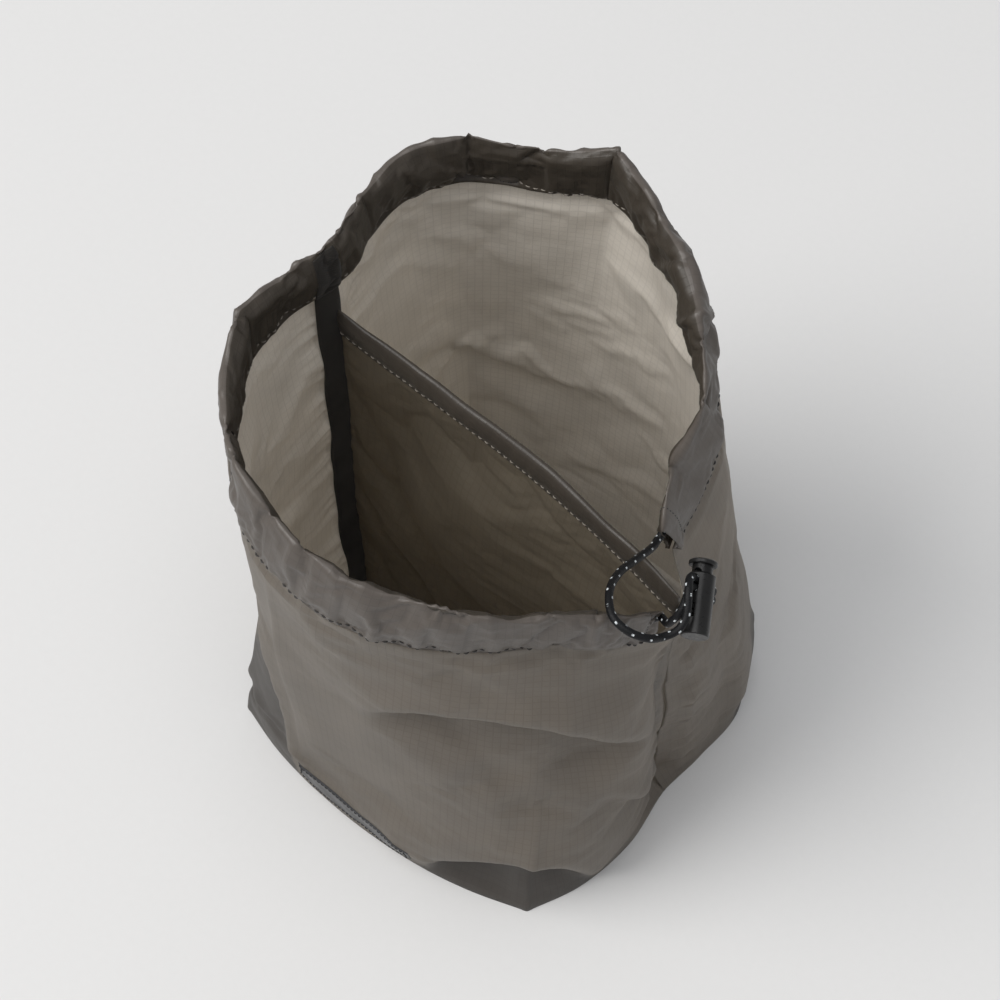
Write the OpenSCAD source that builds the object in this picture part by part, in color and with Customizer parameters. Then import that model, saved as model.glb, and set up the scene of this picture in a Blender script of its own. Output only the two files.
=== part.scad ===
// Drawstring shoe bag of thin ripstop cloth, standing open on its boxed bottom.
// Millimetres, +Z up. The front of the bag faces -Y, and the channel mouths are on the +X side.

/* [Bag] */
// Width of the bag at its foot, from side seam to side seam
bag_width = 160; // [150:1:170]
// Depth of the bag at its foot, from front to back
bag_depth = 160; // [150:1:170]
// Height of the rim at its tallest
bag_height = 260; // [245:1:275]
// Thickness that stands for one layer of cloth
cloth = 0.8; // [0.6:0.1:1]

/* [Drawcord channel] */
// Thickness of the hollow channel at its widest
channel_thick = 4.6; // [4.6:0.1:5]
// Depth of the cord's centre below the rim
cord_drop = 5.5; // [5:0.5:7]

/* [Divider] */
// Height of the divider's top edge at the left seam
divider_left = 218; // [205:1:222]
// Height of the divider's top edge at the right seam
divider_right = 184; // [170:1:186]
// Depth of the hem along its top edge
divider_hem_depth = 15; // [10:1:20]

/* [Seam tape and label] */
// Width of the binding tape on the side seams
tape_width = 10; // [8:1:12]
// Height of the woven label
label_height = 14; // [10:1:16]
// Thickness of the woven label
label_thick = 0.5; // [0.4:0.1:0.8]

/* [Drawcord] */
// Diameter of the cord
cord_d = 2.8; // [2.6:0.1:2.9]
// Diameter of the knot that joins its two ends
knot_d = 6.4; // [6:0.1:6.6]

/* [Cord lock] */
// Outer diameter of the barrel
barrel_d = 9.6; // [9.4:0.1:10]
// Length of the barrel
barrel_length = 21.5; // [21:0.5:24]
// Diameter of the plunger's stem
stem_d = 7; // [6.8:0.1:7.1]
// Length of the stem that shows between the barrel and the plunger's head
neck_length = 3.1; // [2.9:0.1:3.6]
// Travel of the plunger when it is pressed
press_travel = 2.5; // [2:0.1:2.6]
// Diameter of the spring's wire
wire_d = 0.5; // [0.4:0.05:0.6]

/* [Hidden] */

grey_cloth = "#7a736b";
dark_cloth = "#5d564f";
tape_grey = "#2b2825";
label_grey = "#55565b";
cord_black = "#17181a";
lock_black = "#2a2a2c";
steel = "#b9bcc0";

clear = 0.3;          // gap between pieces that only lie beside each other
to_origin = [4 * bag_width / 160, 2.5 * bag_depth / 160, 0];  // the origin is under the middle of the bag
seam_y = 2;           // the seam along the middle of the bottom
seam_left = -72;
seam_right = 68;
STATIONS = 24;        // places round the bag: 0 is the left seam, 12 the right seam
FRONT_END = 11;       // station where the front channel opens
BACK_END = 13;        // station where the back channel opens

sx = bag_width / 160;
sy = bag_depth / 160;
sz = bag_height / 260;

// Outlines round the bag, [x, y], from the left seam along the front, up the right and back.
// The four pointed corners of the foot are at stations 3, 9, 15 and 21.
FOOT = [
    [-80, 3], [-82, -22], [-83, -48], [-83, -73], [-62, -80], [-41, -84], [-14, -86], [14, -85],
    [38, -81], [62, -74], [73, -52], [78, -26], [76, 0], [79, 22], [80, 48], [66, 74],
    [42, 79], [18, 82], [-6, 83], [-30, 82], [-54, 79], [-77, 75], [-79, 51], [-80, 27]
];
LOW = [
    [-80, 3], [-82, -22], [-82, -46], [-77, -68], [-59, -79], [-40, -84], [-14, -86], [14, -84],
    [38, -79], [61, -70], [73, -50], [78, -26], [77, -2], [80, 20], [79, 44], [67, 66],
    [44, 76], [20, 81], [-5, 83], [-29, 83], [-53, 79], [-76, 71], [-80, 50], [-81, 27]
];
MIDDLE = [
    [-80, 3], [-82, -21], [-80, -43], [-70, -63], [-56, -77], [-40, -86], [-13, -88], [14, -85],
    [38, -77], [61, -63], [73, -44], [79, -24], [78, -6], [80, 12], [76, 33], [63, 53],
    [44, 68], [21, 77], [-4, 83], [-27, 84], [-51, 79], [-73, 66], [-80, 46], [-81, 24]
];
// The stitched lower edge of the channel, and the folded rim, [x, y, z].
HEM = [
    [-80, 3, 234], [-85, -19, 234], [-84, -42, 233], [-71, -64, 232], [-54, -83, 230], [-33, -93, 225],
    [-8, -95, 220], [16, -86, 214], [38, -70, 209], [54, -51, 203], [67, -37, 195], [75, -21, 186],
    [75, -5, 184], [60, 10, 184], [57, 26, 192], [56, 40, 212], [44, 53, 226], [24, 67, 233],
    [-1, 80, 235], [-24, 88, 235], [-47, 76, 234], [-69, 63, 235], [-82, 44, 235], [-83, 22, 234]
];
RIM = [
    [-81, 2, 259], [-85, -17, 258], [-88, -38, 258], [-76, -60, 258], [-56, -80, 256], [-33, -88, 250],
    [-6, -90, 245], [21, -80, 240], [41, -69, 235], [56, -52, 226], [69, -36, 213], [77, -20, 204],
    [75, -6, 197], [59, 5, 204], [51, 20, 219], [53, 34, 242], [41, 49, 252], [23, 66, 258],
    [-2, 80, 260], [-24, 90, 260], [-48, 76, 257], [-69, 64, 259], [-83, 44, 259], [-84, 22, 258]
];
LOW_HEIGHT = 60;
MIDDLE_HEIGHT = 140;

// The cord lock lies against the right side, its plunger towards the back.
lock_at = [79.3, -3.1, 208.4];
lock_turn = -61;
lock_tilt = 100;
lock_roll = -150;
LAY_A = 2.6;          // where the back leg crosses the barrel, below its top edge
LAY_B = 5.7;          // where the front leg crosses it

// Free legs of the cord. The points with a small first number are laid out round the lock:
// [towards the open side of its cross hole, across, down the barrel].
BACK_LEG_LOOP = [
    [58, -1, 200], [58, -10, 206], [58, -21, 213], [61, -31, 219], [67, -38, 220.5],
    [74, -39, 219], [80, -36, 216]
];
BACK_LEG_LOCK = [
    [12, 5.2, 25], [9.2, 1.6, 22], [9, -0.8, 18], [10.2, -1.7, 14], [11.2, -2, 10.6],
    [11.2, -1.8, 7.4], [9.9, -1.1, 4.7], [7.4, -0.3, 3], [4.4, 0, 2.6], [0, 0, 2.6],
    [-4, 0, 2.6], [-8.2, 0, 2.6], [-10.2, 0.9, 2.9], [-11.3, 2.6, 3.6]
];
FRONT_LEG_LOCK = [
    [1.2, 10.4, 16.8], [3.9, 7.6, 17.4], [6.5, 3.9, 16.2], [7.9, 1.2, 13.4], [8.4, 0.1, 10.4],
    [8, -0.1, 8], [6.6, 0, 6.4], [4.5, 0, 5.75], [2, 0, 5.7], [0, 0, 5.7],
    [-4, 0, 5.7], [-8.2, 0, 5.7], [-9.9, 0.8, 6], [-10.9, 2.4, 6.6]
];
KNOT = [-12.6, 5.2, 5.6];

// ---------- vectors ----------
function unit(v) = v / norm(v);
function mix(a, b, f) = a * (1 - f) + b * f;
function turn_z(a, p) = [p.x * cos(a) - p.y * sin(a), p.x * sin(a) + p.y * cos(a), p.z];
function turn_y(a, p) = [p.x * cos(a) + p.z * sin(a), p.y, p.z * cos(a) - p.x * sin(a)];
function lock_point(p) =
    lock_at + turn_z(lock_turn, turn_y(lock_tilt, turn_z(lock_roll, p)));

// ---------- the bag's wall ----------
// Level 0 is the foot, 1 low, 2 middle, 3 the hem line and 4 the rim.
function at(list, k) = list[(k + STATIONS) % STATIONS];
function corner(level, k) =
    level == 0 ? [at(FOOT, k).x * sx, at(FOOT, k).y * sy, 0] :
    level == 1 ? [at(LOW, k).x * sx, at(LOW, k).y * sy, LOW_HEIGHT * at(RIM, k).z / 260 * sz] :
    level == 2 ? [at(MIDDLE, k).x * sx, at(MIDDLE, k).y * sy, MIDDLE_HEIGHT * at(RIM, k).z / 260 * sz] :
    level == 3 ? [at(HEM, k).x * sx, at(HEM, k).y * sy, at(HEM, k).z * sz] :
    [at(RIM, k).x * sx, at(RIM, k).y * sy, at(RIM, k).z * sz];
function along(level, k) = mix(corner(level, floor(k)), corner(level, floor(k) + 1), k - floor(k));
function wall(level, k) =
    let (low = floor(level))
    low == level ? along(low, k) : mix(along(low, k), along(low + 1, k), level - low);
// Horizontal direction from the wall into the bag, at a station and between stations.
function inward_at(level, k) =
    let (t = corner(level, k + 1) - corner(level, k - 1))
    unit([-t.y, t.x, 0]);
function inward(level, k) =
    let (near = round(level))
    unit(mix(inward_at(near, floor(k)), inward_at(near, floor(k) + 1), k - floor(k)));
function inset(level, k, depth) = wall(level, k) + inward(level, k) * depth;

// A piece in its colour, moved so that the bag stands centred on the origin.
module piece(colour) {
    color(colour) translate(to_origin) children();
}

// ---------- closed sheets and tubes ----------
// A solid between two grids of points that have the same rows and columns.
module sheet(outer, inner) {
    rows = len(outer);
    cols = len(outer[0]);
    count = rows * cols;
    points = concat([for (row = outer) each row], [for (row = inner) each row]);
    function quad(a, b, c, d) = [[a, b, c], [a, c, d]];
    function id(r, c, side) = side * count + r * cols + c;
    faces = concat(
        [for (r = [0 : rows - 2], c = [0 : cols - 2])
            each quad(id(r, c, 0), id(r + 1, c, 0), id(r + 1, c + 1, 0), id(r, c + 1, 0))],
        [for (r = [0 : rows - 2], c = [0 : cols - 2])
            each quad(id(r, c, 1), id(r, c + 1, 1), id(r + 1, c + 1, 1), id(r + 1, c, 1))],
        [for (r = [0 : rows - 2])
            each quad(id(r, 0, 0), id(r, 0, 1), id(r + 1, 0, 1), id(r + 1, 0, 0))],
        [for (r = [0 : rows - 2])
            each quad(id(r, cols - 1, 0), id(r + 1, cols - 1, 0),
                id(r + 1, cols - 1, 1), id(r, cols - 1, 1))],
        [for (c = [0 : cols - 2])
            each quad(id(0, c, 0), id(0, c + 1, 0), id(0, c + 1, 1), id(0, c, 1))],
        [for (c = [0 : cols - 2])
            each quad(id(rows - 1, c, 0), id(rows - 1, c, 1),
                id(rows - 1, c + 1, 1), id(rows - 1, c + 1, 0))]
    );
    polyhedron(points, faces);
}

// Rings of a tube along a path: each ring's first direction is carried on from the one before.
function path_direction(path, i) =
    unit(path[min(i + 1, len(path) - 1)] - path[max(i - 1, 0)]);
function carried(path, side, i) =
    let (t = path_direction(path, i))
    unit(side - t * (side * t));
function sides_along(path, side, i = 0) =
    i == len(path) ? [] :
    let (s = carried(path, side, i))
    concat([s], sides_along(path, s, i + 1));

module tube(path, d, sides, start) {
    across = sides_along(path, start);
    rings = len(path);
    points = [for (i = [0 : rings - 1], s = [0 : sides - 1])
        let (t = path_direction(path, i), a = 360 * s / sides)
        path[i] + (across[i] * cos(a) + cross(t, across[i]) * sin(a)) * d / 2];
    walls = [for (i = [0 : rings - 2], s = [0 : sides - 1])
        let (a = i * sides + s, b = i * sides + (s + 1) % sides)
        each [[a, b + sides, b], [a, a + sides, b + sides]]];
    polyhedron(points, concat(walls,
        [[for (s = [0 : sides - 1]) s]],
        [[for (s = [0 : sides - 1]) rings * sides - 1 - s]]));
}

// A smooth curve through points, with one point added in the middle of each stretch.
function smooth(p) =
    let (n = len(p) - 1)
    concat([for (i = [0 : n - 1]) each [
        p[i],
        (p[i] + p[i + 1]) * 0.5625 - (p[max(i - 1, 0)] + p[min(i + 2, n)]) * 0.0625
    ]], [p[n]]);

// ---------- cloth panels ----------
// Half of the bottom and the wall above it, from one seam to the other.
module panel(first, last, seam_from, seam_to, side) {
    ks = [first + 0.02, for (k = [first + 1 : last - 1]) k, last - 0.02];
    n = len(ks) - 1;
    middle = [for (i = [0 : n]) [mix(seam_from, seam_to, i / n) * sx, seam_y + side * clear, 0]];
    lift = [0, 0, cloth];
    outer = [middle, for (level = [0 : 3]) [for (k = ks) wall(level, k)]];
    inner = [
        [for (p = middle) p + lift],
        [for (k = ks) inset(0, k, cloth) + lift],
        for (level = [1 : 3]) [for (k = ks) inset(level, k, cloth)]
    ];
    sheet(outer, inner);
}

// The hollow hem that the cord runs in, open at the end beside the right seam.
module channel(first, last) {
    t = channel_thick;
    // Section, [level, drop below that level, depth into the bag]
    skin = [[3, -0.1, 0], [4, 3, 0], [4, 0, 1.2], [4, 0, t - 1.2], [4, 3, t], [4, 9, t], [3, -0.1, 1.4]];
    hollow = [[4, 12, 0.6], [4, 3, 0.6], [4, 0.8, 1.5], [4, 0.8, t - 1.5],
        [4, 3, t - 0.6], [4, 9, t - 0.6], [4, 12, t - 1.3]];
    count = len(skin);
    ks = [first == 0 ? 0.02 : first, for (k = [first + 1 : last - 1]) k, last == STATIONS ? last - 0.02 : last];
    n = len(ks);
    function ring(k, section) = [for (q = section) inset(q[0], k, q[2]) - [0, 0, q[1]]];
    points = concat([for (k = ks) each ring(k, skin)], [for (k = ks) each ring(k, hollow)]);
    function id(i, q, deep) = deep * n * count + i * count + (q % count);
    polyhedron(points, concat(
        [for (i = [0 : n - 2], q = [0 : count - 1]) each [
            [id(i, q, 0), id(i, q + 1, 0), id(i + 1, q + 1, 0)],
            [id(i, q, 0), id(i + 1, q + 1, 0), id(i + 1, q, 0)]]],
        [for (i = [0 : n - 2], q = [0 : count - 1]) each [
            [id(i, q, 1), id(i + 1, q + 1, 1), id(i, q + 1, 1)],
            [id(i, q, 1), id(i + 1, q, 1), id(i + 1, q + 1, 1)]]],
        [for (q = [0 : count - 1]) each [
            [id(0, q, 0), id(0, q + 1, 1), id(0, q + 1, 0)],
            [id(0, q, 0), id(0, q, 1), id(0, q + 1, 1)]]],
        [for (q = [0 : count - 1]) each [
            [id(n - 1, q, 0), id(n - 1, q + 1, 0), id(n - 1, q + 1, 1)],
            [id(n - 1, q, 0), id(n - 1, q + 1, 1), id(n - 1, q, 1)]]]
    ));
}

module front_panel() {
    piece(grey_cloth) panel(0, 12, seam_left, seam_right, -1);
}

module back_panel() {
    piece(grey_cloth) panel(12, 24, seam_right, seam_left, 1);
}

module front_channel() {
    piece(grey_cloth) channel(0, FRONT_END);
}

module back_channel() {
    piece(grey_cloth) channel(BACK_END, STATIONS);
}

// ---------- divider ----------
function side_level(k, z) =
    let (low = corner(1, k).z, middle = corner(2, k).z, hem = corner(3, k).z)
    z < low ? z / low :
    z < middle ? 1 + (z - low) / (middle - low) :
    min(3, 2 + (z - middle) / (hem - middle));
function divider_point(f, left_z, right_z, y) =
    let (a = wall(side_level(0, left_z), 0), b = wall(side_level(12, right_z), 12), gap = 3 * cloth)
    [mix(a.x + gap, b.x - gap, f), mix(a.y, b.y, f) + y, mix(left_z, right_z, f)];
module divider_band(left_from, left_to, right_from, right_to, thick, rows) {
    cols = 6;
    function face(y) = [for (r = [0 : rows]) [for (c = [0 : cols])
        divider_point(c / cols, mix(left_from, left_to, r / rows), mix(right_from, right_to, r / rows), y)]];
    sheet(face(-thick / 2), face(thick / 2));
}

module divider_panel() {
    piece(dark_cloth)
        divider_band(1.2, divider_left - divider_hem_depth, 1.2, divider_right - divider_hem_depth, cloth, 6);
}

module divider_hem() {
    piece(dark_cloth)
        divider_band(divider_left - divider_hem_depth, divider_left,
            divider_right - divider_hem_depth, divider_right, 2 * cloth, 1);
}

// ---------- tapes and label ----------
// A strip that follows the wall over a list of stations, between two levels.
module strip(ks, level_from, level_to, rows, near, far) {
    function face(depth) = [for (r = [0 : rows]) [for (k = ks)
        inset(mix(level_from, level_to, r / rows), k, depth)]];
    sheet(face(near), face(far));
}

tape_thick = 0.7;
tape_near = cloth + 0.2;
tape_span = tape_width / 25;
module seam_tape(k) {
    piece(tape_grey) strip([k, k + tape_span], 0.03, 2.97, 7, tape_near, tape_near + tape_thick);
}

module left_seam_tape() {
    seam_tape(0.06);
}

module right_seam_tape() {
    seam_tape(11.9 - tape_span);
}

// The seams that box the bottom's corners, on both sides of the divider.
corner_near = tape_near + 0.5;
module corner_tape(stretches) {
    for (ks = stretches)
        strip(ks, 0.04, 0.16, 1, corner_near, corner_near + tape_thick);
}

module left_corner_tape() {
    piece(tape_grey) corner_tape([[0.6, 1, 2, 2.5], [21.6, 22, 23, 23.8]]);
}

module right_corner_tape() {
    piece(tape_grey) corner_tape([[9.5, 10, 11, 11.3], [12.2, 13, 14, 14.5]]);
}

module bottom_seam_tape() {
    piece(tape_grey)
        translate([-66 * sx, -10 * sy, cloth + 0.1])
            cube([128 * sx, 8 * sy, tape_thick]);
}

module woven_label() {
    level = label_height / (LOW_HEIGHT * sz);
    piece(label_grey) strip([4.78, 5, 6, 7], 0.11, 0.11 + level, 1, -0.3 - label_thick, -0.3);
}

// ---------- drawcord ----------
cord_depth = channel_thick / 2;
function cord_in_channel(k) = inset(4, k, cord_depth) - [0, 0, cord_drop];

module drawcord_run() {
    path = [for (k = [BACK_END : STATIONS + FRONT_END]) cord_in_channel(k)];
    piece(cord_black) tube(path, cord_d, 8, [0, 0, 1]);
}

module cord_back_leg() {
    path = smooth(concat([cord_in_channel(BACK_END)], BACK_LEG_LOOP,
        [for (p = BACK_LEG_LOCK) lock_point(p)]));
    piece(cord_black) tube(path, cord_d, 8, [0, 0, 1]);
}

module cord_front_leg() {
    path = smooth(concat([cord_in_channel(FRONT_END)], [for (p = FRONT_LEG_LOCK) lock_point(p)]));
    piece(cord_black) tube(path, cord_d, 8, [0, 0, 1]);
}

module cord_knot() {
    piece(cord_black) translate(lock_point(KNOT)) sphere(d = knot_d, $fn = 32);
}

// ---------- cord lock ----------
// Its own frame has the barrel's top edge at 0, +Z down the barrel and +X out of the cross hole.
module in_lock_place() {
    translate(lock_at) rotate([0, 0, lock_turn]) rotate([0, lock_tilt, 0]) rotate([0, 0, lock_roll])
        children();
}

bore_d = stem_d + 0.3;
floor_thick = 1.3;
hole_width = cord_d + 0.6;
hole_from = LAY_A - cord_d / 2 - clear;
hole_to = LAY_B + cord_d / 2 + clear;
lug_from = 11.3;
lug_length = 1.6;
window_width = 2.6;
stem_end = 14;

// A hole with round ends across the lock, between two distances down the barrel.
module cross_slot(from, to, width) {
    r = width / 2;
    for (z = [from + r, to - r])
        translate([-barrel_d, 0, z]) rotate([0, 90, 0]) cylinder(r = r, h = 2 * barrel_d, $fn = 48);
    translate([-barrel_d, -r, from + r]) cube([2 * barrel_d, width, to - from - width]);
}

module lock_barrel() {
    edge = 0.5;
    piece(lock_black) in_lock_place() difference() {
        rotate_extrude($fn = 96) polygon([
            [0, 0], [barrel_d / 2 - edge, 0], [barrel_d / 2, edge],
            [barrel_d / 2, barrel_length - 0.3], [barrel_d / 2 - 0.3, barrel_length], [0, barrel_length]
        ]);
        translate([0, 0, -1]) cylinder(d = bore_d, h = barrel_length - floor_thick + 1, $fn = 96);
        cross_slot(hole_from, hole_to, hole_width);
        translate([0, -window_width / 2, lug_from - clear])
            cube([barrel_d, window_width, lug_length + press_travel + 2 * clear]);
        translate([barrel_d / 2 * cos(56), -barrel_d / 2 * sin(56), 15])
            sphere(d = 1, $fn = 24);
    }
}

module lock_plunger() {
    head_thick = 1.6;
    piece(lock_black) in_lock_place() difference() {
        union() {
            rotate_extrude($fn = 96) polygon([
                [0, -neck_length - head_thick], [barrel_d / 2 - 0.3, -neck_length - head_thick],
                [barrel_d / 2 + 0.1, -neck_length - head_thick + 0.4], [barrel_d / 2 + 0.1, -neck_length - 0.3],
                [barrel_d / 2 - 0.2, -neck_length], [stem_d / 2, -neck_length],
                [stem_d / 2, stem_end], [0, stem_end]
            ]);
            translate([0, -window_width / 2 + clear, lug_from])
                cube([barrel_d / 2 - 0.4, window_width - 2 * clear, lug_length]);
        }
        cross_slot(hole_from - press_travel, hole_to, hole_width);
    }
}

module lock_spring() {
    turns = 5;
    steps = 10;
    mean_r = stem_d / 2 - 1;
    top = stem_end + wire_d / 2 + 0.05;
    bottom = barrel_length - floor_thick - wire_d / 2 - 0.05;
    path = [for (i = [0 : turns * steps])
        lock_point([mean_r * cos(360 * i / steps), mean_r * sin(360 * i / steps),
            mix(top, bottom, i / (turns * steps))])];
    piece(steel) tube(path, wire_d, 6, lock_point([1, 0, 0]) - lock_at);
}

front_panel();
back_panel();
front_channel();
back_channel();
divider_panel();
divider_hem();
left_seam_tape();
right_seam_tape();
left_corner_tape();
right_corner_tape();
bottom_seam_tape();
woven_label();
drawcord_run();
cord_back_leg();
cord_front_leg();
cord_knot();
lock_barrel();
lock_plunger();
lock_spring();
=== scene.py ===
"""Drawstring shoe bag of thin ripstop cloth. Its points are in millimetres until to_frame()."""
import math

import bpy
import numpy as np
from mathutils import Matrix, Vector, kdtree, noise


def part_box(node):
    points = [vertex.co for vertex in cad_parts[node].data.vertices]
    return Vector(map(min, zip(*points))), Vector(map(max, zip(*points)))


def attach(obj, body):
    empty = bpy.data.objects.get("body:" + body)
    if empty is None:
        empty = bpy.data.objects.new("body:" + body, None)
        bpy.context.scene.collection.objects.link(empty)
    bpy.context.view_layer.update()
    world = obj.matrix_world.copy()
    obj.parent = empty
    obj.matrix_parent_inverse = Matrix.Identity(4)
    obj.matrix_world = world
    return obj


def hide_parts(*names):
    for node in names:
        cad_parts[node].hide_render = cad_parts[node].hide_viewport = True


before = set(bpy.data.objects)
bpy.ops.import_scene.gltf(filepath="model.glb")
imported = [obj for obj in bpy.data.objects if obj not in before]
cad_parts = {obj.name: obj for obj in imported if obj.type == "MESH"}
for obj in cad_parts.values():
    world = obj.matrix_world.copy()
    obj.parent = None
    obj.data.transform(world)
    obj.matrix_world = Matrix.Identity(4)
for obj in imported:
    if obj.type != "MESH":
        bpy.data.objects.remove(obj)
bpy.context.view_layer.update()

MM = 0.001
ORIGIN = np.array([4.0, 2.5, 0.0])      # the outlines are laid out round a point beside the bag's middle


def to_frame(points):
    """Millimetres in the outlines' layout to metres in the frame."""
    return (np.asarray(points, float) + ORIGIN) * MM


def placed(name, data):
    """A new object in the scene."""
    obj = bpy.data.objects.new(name, data)
    bpy.context.scene.collection.objects.link(obj)
    return obj


def unit(vectors):
    return vectors / np.linalg.norm(vectors, axis=-1, keepdims=True)


def lengths_along(points):
    """How far along a line of points each one is."""
    return np.concatenate([[0], np.cumsum(np.linalg.norm(np.diff(points, axis=0), axis=1))])


# ---------------------------------------------------------------- camera
camera = placed("camera", bpy.data.cameras.new("camera"))
camera.data.lens = 90
camera.data.sensor_width = 36
camera.location = (0.2515, -0.3355, 0.955)
camera.rotation_euler = (math.radians(28), 0, math.radians(37))
bpy.context.scene.camera = camera

# ---------------------------------------------------------------- outlines of the bag
# [x, y] round the bag from the left seam along the front, up the right side and back.
# Stations 3, 9, 15 and 21 of the foot are its pointed corners; station 12 is the right seam.
FOOT = [
    (-80, 3), (-82, -22), (-83, -48), (-83, -73), (-62, -80), (-41, -84), (-14, -86), (14, -85),
    (38, -81), (62, -74), (73, -52), (78, -26), (76, 0), (79, 22), (80, 48), (66, 74),
    (42, 79), (18, 82), (-6, 83), (-30, 82), (-54, 79), (-77, 75), (-79, 51), (-80, 27)]
LOW = [
    (-80, 3), (-82, -22), (-82, -46), (-77, -68), (-59, -79), (-40, -84), (-14, -86), (14, -84),
    (38, -79), (61, -70), (73, -50), (78, -26), (77, -2), (80, 20), (79, 44), (67, 66),
    (44, 76), (20, 81), (-5, 83), (-29, 83), (-53, 79), (-76, 71), (-80, 50), (-81, 27)]
MIDDLE = [
    (-80, 3), (-82, -21), (-80, -43), (-70, -63), (-56, -77), (-40, -86), (-13, -88), (14, -85),
    (38, -77), (61, -63), (73, -44), (79, -24), (78, -6), (80, 12), (76, 33), (63, 53),
    (44, 68), (21, 77), (-4, 83), (-27, 84), (-51, 79), (-73, 66), (-80, 46), (-81, 24)]
HEM = [
    (-80, 3, 234), (-85, -19, 234), (-84, -42, 233), (-71, -64, 232), (-54, -83, 230), (-33, -93, 225),
    (-8, -95, 220), (16, -86, 214), (38, -70, 209), (54, -51, 203), (67, -37, 195), (75, -21, 186),
    (75, -5, 184), (60, 10, 184), (57, 26, 192), (56, 40, 212), (44, 53, 226), (24, 67, 233),
    (-1, 80, 235), (-24, 88, 235), (-47, 76, 234), (-69, 63, 235), (-82, 44, 235), (-83, 22, 234)]
RIM = [
    (-81, 2, 259), (-85, -17, 258), (-88, -38, 258), (-76, -60, 258), (-56, -80, 256), (-33, -88, 250),
    (-6, -90, 245), (21, -80, 240), (41, -69, 235), (56, -52, 226), (69, -36, 213), (77, -20, 204),
    (75, -6, 197), (59, 5, 204), (51, 20, 219), (53, 34, 242), (41, 49, 252), (23, 66, 258),
    (-2, 80, 260), (-24, 90, 260), (-48, 76, 257), (-69, 64, 259), (-83, 44, 259), (-84, 22, 258)]
STATIONS = 24
FRONT_END = 11          # the stations where the front and back channels end, beside the right seam
BACK_END = 13
LOW_HEIGHT = 60         # of the outlines LOW and MIDDLE, where the rim is highest
MIDDLE_HEIGHT = 140
RIM_HEIGHT = 260
# How sharp the outline is at some stations, from 0, round, to 1, a crease.
SHARP = [
    {3: 1, 9: 1, 15: 1, 21: 1, 0: 0.4, 12: 0.4, 5: 0.5},
    {3: 0.6, 9: 0.4, 15: 0.6, 21: 0.6, 5: 1, 12: 0.8, 0: 0.4},
    {3: 0.2, 5: 1, 12: 0.8, 15: 0.3, 0: 0.4},
    {5: 0.7, 13: 0.7, 15: 0.6, 2: 0.4, 19: 0.4, 0: 0.4},
    {2: 0.9, 7: 0.4, 11: 0.8, 13: 0.9, 14: 0.5, 15: 0.8, 19: 1, 21: 1, 23: 0.8, 0: 0.5}]


def raised(outline, height):
    """An outline at a height that falls with the rim above it."""
    return np.column_stack([np.array(outline, float), height / RIM_HEIGHT * np.array(RIM, float)[:, 2]])


LOOPS = [raised(FOOT, 0), raised(LOW, LOW_HEIGHT), raised(MIDDLE, MIDDLE_HEIGHT),
         np.array(HEM, float), np.array(RIM, float)]


def tangents(level):
    """Slopes before and after each station: equal where the outline is round."""
    p = LOOPS[level]
    before, after = p - np.roll(p, 1, 0), np.roll(p, -1, 0) - p
    smooth = (before + after) / 2
    sharp = np.array([SHARP[level].get(k, 0) for k in range(STATIONS)])[:, None]
    return smooth * (1 - sharp) + before * sharp, smooth * (1 - sharp) + after * sharp


TANGENTS = [tangents(level) for level in range(5)]


def hermite(a, b, ta, tb, f):
    """Points at shares f of the smooth curve from a to b with the slopes ta and tb."""
    return ((2 * f**3 - 3 * f**2 + 1) * a + (f**3 - 2 * f**2 + f) * ta
            + (3 * f**2 - 2 * f**3) * b + (f**3 - f**2) * tb)


def along(level, k):
    """Points of one outline at stations k, an array."""
    k = np.asarray(k, float)
    low = np.floor(k).astype(int)
    f = (k - low)[..., None]
    a, b = low % STATIONS, (low + 1) % STATIONS
    p, (arrive, leave) = LOOPS[level], TANGENTS[level]
    return hermite(p[a], p[b], leave[a], arrive[b], f)


def wall(h, k):
    """Points of the wall at heights h, 0 at the foot to 3 at the hem line, and stations k."""
    h, k = np.broadcast_arrays(np.asarray(h, float), np.asarray(k, float))
    p = np.stack([along(level, k) for level in range(4)])
    slope = np.stack([p[1] - p[0], (p[2] - p[0]) / 2, (p[3] - p[1]) / 2, (p[3] - p[2]) * 0.8])
    low = np.clip(np.floor(h).astype(int), 0, 2)
    f = (h - low)[..., None]

    def pick(values, index):
        return np.take_along_axis(values, index[None, ..., None], 0)[0]
    return hermite(pick(p, low), pick(p, low + 1), pick(slope, low), pick(slope, low + 1), f)


def inward(level, k):
    """Horizontal direction into the bag."""
    t = along(level, np.asarray(k, float) + 0.35) - along(level, np.asarray(k, float) - 0.35)
    return unit(np.stack([-t[..., 1], t[..., 0], 0 * t[..., 0]], -1))


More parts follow.
